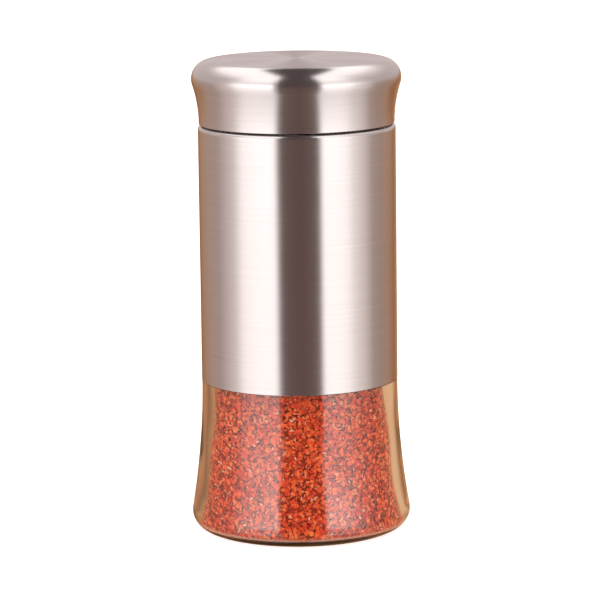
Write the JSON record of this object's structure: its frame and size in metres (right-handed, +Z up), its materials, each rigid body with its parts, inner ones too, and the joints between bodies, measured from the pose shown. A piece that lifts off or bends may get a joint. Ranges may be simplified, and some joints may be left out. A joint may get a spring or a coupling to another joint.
{
  "type": "spice shaker",
  "caption": "Table spice shaker: a flared glass jar in a brushed steel sleeve, with a screw-on shaker head, a selector dial and a lift-off steel cover.",
  "frame": {"origin": "middle of the ring that the jar stands on, at the table", "axes": "+Z up along the jar's axis; -Y is the side that the picture shows; the dial's window is at -Y at rest"},
  "size_m": [0.0648, 0.0648, 0.14],
  "materials": {
    "clear_glass": "gloss",
    "brushed_steel": "satin",
    "chilli": "matte",
    "clear_glue": "gloss",
    "white_moulding": "satin",
    "dial_moulding": "satin",
    "silicone": "matte"
  },
  "bodies": {
    "jar": {"glass_jar": "clear_glass", "chilli_flakes": "chilli", "steel_sleeve": "brushed_steel", "sleeve_glue_lower": "clear_glue", "sleeve_glue_upper": "clear_glue"},
    "seal": {"neck_seal": "silicone"},
    "head": {"shaker_head": "white_moulding", "dial_pin": "white_moulding"},
    "dial": {"selector_dial": "dial_moulding"},
    "cover": {"cover_shell": "brushed_steel", "cover_liner": "white_moulding", "cover_seal": "silicone", "cover_glue": "clear_glue"}
  },
  "joints": [
    {"name": "head_rise", "type": "slide", "parent": "jar", "child": "seal", "axis": [0, 0, 1], "range_m": [0, 0.032]},
    {"name": "head_unscrew", "type": "hinge", "parent": "seal", "child": "head", "pos_m": [0, 0, 0.1258], "axis": [0, 0, 1], "range_deg": [0, 720]},
    {"name": "dial_turn", "type": "hinge", "parent": "head", "child": "dial", "pos_m": [0, 0, 0.135], "axis": [0, 0, 1], "range_deg": [0, 240]},
    {"name": "cover_lift", "type": "slide", "parent": "head", "child": "cover", "axis": [0, 0, 1], "range_m": [0, 0.05]}
  ],
  "couplings": [
    {"joint": "head_rise", "follows": "head_unscrew", "m_per_rad": 0.0025465}
  ]
}
